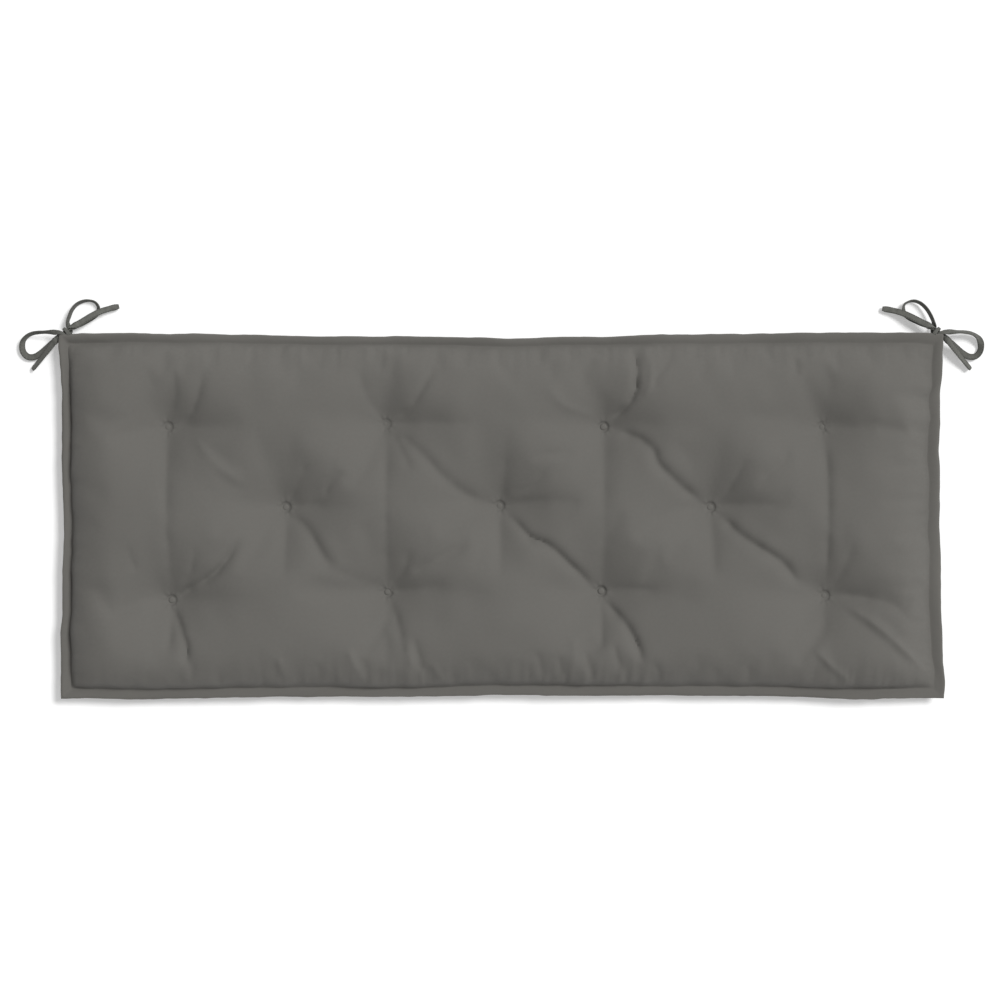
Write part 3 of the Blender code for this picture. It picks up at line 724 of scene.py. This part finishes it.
def seamPuckers(points, upper):
    # small gathers that run in from the seams, stronger where the cloth was eased in
    lines = seamSides()
    (broadX, broadY), (fineX, fineY) = puckerForm["broad"], puckerForm["fine"]
    for number, (side, (table, reach)) in enumerate(puckers.items()):
        axis, sign = sideOf[side]
        distance = sign * (lines[side](points[:, 1 - axis]) - points[:, axis])
        near = np.nonzero((distance > 0) & (distance < 3 * reach) & (upper > 0.5))[0]
        along, inward = points[near, 1 - axis], distance[near]
        wave = np.array([noise.noise(Vector((a * broadX, d * broadY, number * 7.0)))
                         + puckerForm["fineShare"] * noise.noise(Vector((a * fineX, d * fineY, number * 7.0 + 3)))
                         for a, d in zip(along, inward)])
        fade = smoothStep(inward / puckerForm["start"]) * np.exp(-((inward / reach) ** 2))
        points[near, 2] += rowBlend(table, along) * wave * fade
    return points


def outerEdge(seam, u, v, atEdge=0.9999):
    # the flange's outer edge beside each point of the seam, and how freely it droops there
    nx, ny = cushion["cells"]
    outer = seam[:, :2].copy()
    share = np.column_stack([u, v])
    for side, (axis, sign) in sideOf.items():
        here = share[:, axis] * sign > atEdge
        outer[here, axis] = sign * rowBlend(outline[side], seam[here, 1 - axis])
    # towards a corner the outer edge spreads from the seam's corner to the outline's
    alongSide = (abs(v) > atEdge, abs(u) > atEdge)
    for k in (0, nx, nx + ny, 2 * nx + ny):
        sideX, sideY = ("right" if u[k] > 0 else "left"), ("back" if v[k] > 0 else "front")
        corner = rowBlend(outline[sideX], seam[k, 1] * 1.05), rowBlend(outline[sideY], seam[k, 0])
        quarter = (u * u[k] > 0) & (v * v[k] > 0)
        for axis in (0, 1):
            here = quarter & alongSide[axis]
            outer[here, axis] = seam[here, axis] * corner[axis] / abs(seam[k, axis])
    middle = abs(share) < 1e-9
    outer[middle] = seam[:, :2][middle]
    wave = lumps(seam[:, :2], hem["lumps"])
    for axis in (0, 1):
        outer[:, axis] += np.where(alongSide[1 - axis], wave, 0.0)
    knotNear = np.min([np.hypot(*(outer - b["knot"]).T) for b in bows.values()], axis=0)
    pull = hem["cornerTrim"] * (1 - smoothStep(knotNear / hem["trimReach"]))
    return outer - np.sign(outer) * pull[:, None], ease(knotNear, *hem["calm"])


def flangeRings(seam, u, v):
    # rings of points from the seam over the flange and round its edge, and two coarser ones back below it
    outer, calm = outerEdge(seam, u, v)
    run = np.arange(len(seam))
    droop = hem["droop"] + hem["waveDroop"] * waves(run, hem["waves"])
    droop = droop + hem["backDroop"] * ease(v, 0.9, 0.1) + hem["leftDroop"] * ease(-u, 0.97, 0.03)
    step = smoothStep(waves(run, hem["layers"], 0.5))       # the lower layer peeps out
    half, middle, pinch = hem["thick"] / 2, seamHeight(u, v), seamPinch(u, v)

    def ring(share, lift):
        plan = seam[:, :2] + (outer - seam[:, :2]) * share
        lift = lift * half - (half + pinch) * hem["falls"].get(share, 0.0)
        return np.column_stack([plan, middle + lift + calm * droop * share**1.5])

    over = [ring(0.10, 1.0), ring(0.35, 1.0), ring(0.62, 1.0), ring(0.84, 1.0),
            ring(0.90, 0.95 - 0.75 * step), ring(1.0, 0.5 - 0.5 * step), ring(1.0, -0.5)]
    return over, [ring(0.86, -1.0)[::2], ring(0.35, -1.0)[::2]]


def bridge(ringA, ringB):
    # faces between two closed rings of points
    following = [*range(1, len(ringA)), 0]
    return [(ringA[m], ringA[k], ringB[k], ringB[m]) for k, m in enumerate(following)]


def mark(mesh, name, kind, domain, values):
    slot = "vector" if kind == "FLOAT_VECTOR" else "value"
    mesh.attributes.new(name, kind, domain).data.foreach_set(slot, values.ravel())


def coverMesh(u, v, flat, top):
    # one closed mesh: upper panel, flange and underside, marked for the cloth pattern and for its folded edges
    nx, ny = cushion["cells"]
    loop = borderLoop(nx, ny)
    over, back = flangeRings(top[loop], u[loop], v[loop])
    topCount, count, halfCount = len(top), len(loop), len(loop) // 2

    # underside, on a grid of half as many cells
    bu, bv, ux, uy = (a.reshape(ny + 1, nx + 1)[::2, ::2].ravel() for a in (u, v, flat[:, 0], flat[:, 1]))
    under = np.column_stack([ux, uy, underHeight(bu, bv, ux, uy)])
    points = np.vstack([top, *over, *back, under])

    faces = gridFaces(nx, ny)
    ringStarts = [topCount + k * count for k in range(len(over))]
    previous = loop
    for start in ringStarts:
        ring = range(start, start + count)
        faces += bridge(previous, ring)
        previous = ring
    backStart = ringStarts[-1] + count
    underStart = backStart + 2 * halfCount
    coarse, inner = range(backStart, backStart + halfCount), range(backStart + halfCount, underStart)
    for k in range(halfCount):
        m = (k + 1) % halfCount
        f0, f1, f2 = previous[2 * k], previous[2 * k + 1], previous[(2 * k + 2) % count]
        faces += [(f1, f0, coarse[k]), (f1, coarse[k], coarse[m]), (f2, f1, coarse[m])]
    faces += bridge(coarse, inner) + bridge(inner, borderLoop(nx // 2, ny // 2, underStart))
    faces += gridFaces(nx // 2, ny // 2, underStart, flip=True)
    cover = newMesh("cushionCover", points * mm, faces)

    place = points.copy()
    place[:topCount, :2] = flat[:, :2]
    place[:, 2] = 0
    mark(cover.data, "clothPlace", "FLOAT_VECTOR", "POINT", place * mm)
    onTop = np.zeros(len(points))
    onTop[:topCount] = 1.0
    onTop[loop] = 0.0
    mark(cover.data, "upperPanel", "FLOAT", "POINT", onTop)
    ends = np.empty(len(cover.data.edges) * 2, int)
    cover.data.edges.foreach_get("vertices", ends)
    first, second = ends.reshape(-1, 2).T
    isSeam = np.isin(first, loop) & np.isin(second, loop)
    seamFold = np.where(points[first, 1] < -200, 0.5, 1.0)      # softer along the front
    mark(cover.data, "crease_edge", "FLOAT", "EDGE", np.where(isSeam, seamFold, 0.0))
    square = np.zeros(len(points))
    for start in ringStarts:        # keeps the front corners square
        square[[start, start + nx]] = 0.8
    mark(cover.data, "crease_vert", "FLOAT", "POINT", square)
    return cover


def makeCushion():
    u, v, x, y = (a.ravel() for a in panelPlan())
    flat = np.column_stack([x, y, np.full_like(x, cushion["seamUp"])])
    top = np.column_stack([x, y, crownHeight(u, v, x, y)])
    inside = smoothStep(shoulderRise(u, v, 34.0) * 1.2)
    top[:, 2] += creaseField(top[:, :2], cushion["creaseBefore"]) * inside
    top = fillPanel(top, (u, v))
    cover = coverMesh(u, v, flat, top)
    pickOnly(cover)
    subdivideOnce(cover)
    print("cover subdivided, faces", len(cover.data.polygons))

    mesh = cover.data
    points = pointsOf(mesh) / mm
    upper = np.empty(len(mesh.vertices))
    mesh.attributes["upperPanel"].data.foreach_get("value", upper)
    points[:, 2] += creaseField(points[:, :2], cushion["creaseAfter"]) * smoothStep(upper)
    placePoints(mesh, seamPuckers(points, upper) * mm)
    refineTufts(cover)
    pickOnly(cover)
    bpy.ops.object.shade_smooth_by_angle(angle=math.radians(50))
    print("cover shaped, faces", len(mesh.polygons))
    return cover


cover = makeCushion()
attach(cover, "root")
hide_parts("cushion")
print("cushion made")


# tuft buttons: covered with the same cloth, its colour painted a little lighter as a painted highlight, each a little
# turned and sunk in its pocket
button = {"radius": 5.3, "base": 1.2, "sides": 20, "sink": 1.9, "lean": 3, "turn": 40,
          "steps": ((0.5, 0.9), (0.8, 0.8), (1, 0.45), (1.2, 0.15)), "rimTop": 2.2, "gather": 0.94}


def modelButton():
    bpy.ops.object.select_all(action="DESELECT")
    bpy.ops.mesh.primitive_cylinder_add(vertices=button["sides"], radius=button["radius"] * mm,
                                        depth=button["base"] * mm, location=(0, 0, button["base"] * mm / 2))
    piece = bpy.context.object
    pickFaces(piece, lambda face: face.normal.z > 0.9)
    for inset, raised in button["steps"]:
        bpy.ops.mesh.inset(thickness=inset * mm, depth=raised * mm)
    bpy.ops.mesh.select_mode(type="VERT")
    bpy.ops.mesh.select_all(action="DESELECT")
    bpy.ops.object.mode_set(mode="OBJECT")
    for vertex in piece.data.vertices:      # every other point of the rim is drawn in by the gathered cloth
        turn = math.degrees(math.atan2(vertex.co.y, vertex.co.x)) / (360 / button["sides"])
        vertex.select = vertex.co.z < button["rimTop"] * mm and round(turn) % 2 == 0
    bpy.ops.object.mode_set(mode="EDIT")
    bpy.ops.transform.resize(value=(button["gather"], button["gather"], 1), center_override=(0, 0, 0))
    bpy.ops.object.mode_set(mode="OBJECT")
    subdivideOnce(piece)
    bpy.ops.object.shade_smooth()
    return piece


def addButtons():
    first = modelButton()
    buttons = []
    for number, (where, (x, y, _)) in enumerate(tufts.items()):
        pickOnly(first)
        bpy.ops.object.duplicate(linked=False)
        piece = bpy.context.object
        piece.name = piece.data.name = "button_" + where + "_covered"
        piece.location = (x * mm, y * mm, (cushion["tuftSeat"] - button["sink"]) * mm)
        leans = (button["lean"] * math.sin(number * 2.1), button["lean"] * math.cos(number * 1.3))
        piece.rotation_euler = [math.radians(a) for a in (*leans, button["turn"] * number)]
        bpy.ops.object.transform_apply(location=True, rotation=True, scale=True)
        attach(piece, "root")
        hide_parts("button_" + where)
        buttons.append(piece)
    bpy.data.objects.remove(first, do_unlink=True)
    return buttons


buttons = addButtons()
print("buttons made")


# cloth finishes
finishes = {
    "cover": {"colour": (0.129, 0.1245, 0.1145), "uneven": 0.06, "thread": 0.62, "rough": 0.88, "bump": 0.16},
    "tie": {"colour": (0.108, 0.109, 0.099), "uneven": 0.45, "thread": 0.55, "rough": 0.9, "bump": 0.2,
            "stitch": {"line": 3.4, "half": 0.6, "pitch": 3.4, "gap": -0.2, "dark": 0.45}},
    # the buttons' colour is the cover's made 2.3% lighter: a painted highlight on the buttons
    "button": {"colour": (0.132, 0.1275, 0.117), "uneven": 0.06, "thread": 0.6, "rough": 0.88, "bump": 0.16},
}
yarn = {
    "slub": {"Scale": 210, "Detail": 3}, "patch": {"Scale": 7, "Detail": 2},
    "shares": {"slub": 0.45, "patch": 0.35, "weave": 0.2}, "ramp": (0.25, 0.75), "roughSpread": 0.06,
    "bumpHigh": 0.0003, "bumpShares": {"weave": 0.8, "slub": 0.5},
    "shine": {"Specular IOR Level": 0.25, "Sheen Weight": 0.08, "Sheen Roughness": 0.5},
}


def wovenCloth(name, look, source):
    material, nodes, links, shader = newMaterial(name)
    if source == "clothPlace":
        place = nodes.new("ShaderNodeAttribute")
        place.attribute_name = "clothPlace"
        spot = place.outputs["Vector"]
    elif source == "alongStrip":
        place = nodes.new("ShaderNodeUVMap")
        place.uv_map = "alongStrip"
        spot = place.outputs["UV"]
    else:
        place = nodes.new("ShaderNodeTexCoord")
        spot = place.outputs["Object"]
    apart = nodes.new("ShaderNodeSeparateXYZ")
    links.new(spot, apart.inputs[0])

    def maths(kind, a, b=None):
        node = nodes.new("ShaderNodeMath")
        node.operation = kind
        for socket, value in zip(node.inputs, (a, b)):
            if isinstance(value, (int, float)):
                socket.default_value = value
            elif value is not None:
                links.new(value, socket)
        return node.outputs[0]

    def times(a, b):
        return maths("MULTIPLY", a, b)

    def speckle(values):
        node = nodes.new("ShaderNodeTexNoise")
        setInputs(node, values)
        links.new(spot, node.inputs["Vector"])
        return node.outputs["Fac"]

    turn = math.pi / (look["thread"] * mm)
    warp, weft = maths("SINE", times(apart.outputs[0], turn)), maths("SINE", times(apart.outputs[1], turn))
    over = maths("GREATER_THAN", times(warp, weft), 0.0)
    warpUp, weftUp = maths("ABSOLUTE", warp), maths("ABSOLUTE", weft)
    weave = maths("ADD", times(warpUp, over), times(weftUp, maths("SUBTRACT", 1.0, over)))
    slub, patch = speckle(yarn["slub"]), speckle(yarn["patch"])     # uneven yarn, and broad faint shading
    shares = yarn["shares"]
    mixed = maths("ADD", times(slub, shares["slub"]), times(patch, shares["patch"]))
    mixed = maths("ADD", mixed, times(weave, shares["weave"]))
    if "stitch" in look:        # a row of stitches beside each edge
        stitch = look["stitch"]
        fromLine = maths("ABSOLUTE", maths("SUBTRACT", maths("ABSOLUTE", apart.outputs[1]), stitch["line"] * mm))
        onLine = maths("LESS_THAN", fromLine, stitch["half"] * mm)
        beat = maths("SINE", times(apart.outputs[0], math.tau / (stitch["pitch"] * mm)))
        dash = maths("GREATER_THAN", beat, stitch["gap"])
        mixed = maths("SUBTRACT", mixed, times(times(onLine, dash), stitch["dark"]))

    tint = nodes.new("ShaderNodeValToRGB")
    levels = (1 - look["uneven"], 1 + look["uneven"])
    for element, position, level in zip(tint.color_ramp.elements, yarn["ramp"], levels):
        element.position = position
        element.color = (*[c * level for c in look["colour"]], 1)
    links.new(mixed, tint.inputs[0])
    links.new(tint.outputs["Color"], shader.inputs["Base Color"])
    rough = nodes.new("ShaderNodeMapRange")
    setInputs(rough, {"To Min": look["rough"] - yarn["roughSpread"], "To Max": look["rough"] + yarn["roughSpread"]})
    links.new(slub, rough.inputs["Value"])
    links.new(rough.outputs["Result"], shader.inputs["Roughness"])
    bump = nodes.new("ShaderNodeBump")
    setInputs(bump, {"Strength": look["bump"], "Distance": yarn["bumpHigh"]})
    high = yarn["bumpShares"]
    links.new(maths("ADD", times(weave, high["weave"]), times(slub, high["slub"])), bump.inputs["Height"])
    links.new(bump.outputs["Normal"], shader.inputs["Normal"])
    setInputs(shader, yarn["shine"])
    return material


cover.data.materials.append(wovenCloth("coverCloth", finishes["cover"], "clothPlace"))
tieCloth = wovenCloth("tieCloth", finishes["tie"], "alongStrip")
for strip in strips:
    strip.data.materials.append(tieCloth)
# the buttons' cloth is the cover cloth painted lighter, a painted highlight
paintedLightButtonCloth = wovenCloth("paintedLightButtonCloth", finishes["button"], "object")
for piece in buttons:
    piece.data.materials.append(paintedLightButtonCloth)
print("cloths woven")


# floor and light
studio = {
    "floorSize": 60, "floorUp": -0.0002, "floor": (0.82, 0.82, 0.82), "grain": 3, "grainDark": 0.995,
    "around": 0.38,
    "paint": {"Roughness": 0.95, "Specular IOR Level": 0, "Emission Color": (1, 1, 1, 1), "Emission Strength": 0.28},
    "lamp": {"from": (1.2, 0.75, 1.9), "spread": 20, "power": 2.6},
}


def addStudio():
    bpy.ops.object.select_all(action="DESELECT")
    bpy.ops.mesh.primitive_plane_add(size=studio["floorSize"], location=(0, 0, studio["floorUp"]))
    floor = bpy.context.object
    floor.name = "paleFloor"
    material, nodes, links, shader = newMaterial("palePaint")
    place = nodes.new("ShaderNodeTexCoord")
    grain = nodes.new("ShaderNodeTexNoise")
    grain.inputs["Scale"].default_value = studio["grain"]
    tint = nodes.new("ShaderNodeValToRGB")
    tint.color_ramp.elements[0].color = (*[c * studio["grainDark"] for c in studio["floor"]], 1)
    tint.color_ramp.elements[1].color = (*studio["floor"], 1)
    links.new(place.outputs["Object"], grain.inputs["Vector"])
    links.new(grain.outputs["Fac"], tint.inputs[0])
    links.new(tint.outputs["Color"], shader.inputs["Base Color"])
    setInputs(shader, studio["paint"])
    floor.data.materials.append(material)

    world = bpy.context.scene.world or bpy.data.worlds.new("room")
    bpy.context.scene.world = world
    world.use_nodes = True
    setInputs(world.node_tree.nodes["Background"], {"Color": (1, 1, 1, 1), "Strength": studio["around"]})

    lamp = studio["lamp"]
    spot = Vector(lamp["from"])
    bpy.ops.object.light_add(type="SUN", location=spot, rotation=spot.to_track_quat("Z", "Y").to_euler())
    softbox = bpy.context.object
    softbox.name = "softLamp"
    softbox.data.angle = math.radians(lamp["spread"])
    softbox.data.energy = lamp["power"]


addStudio()
print("studio set")
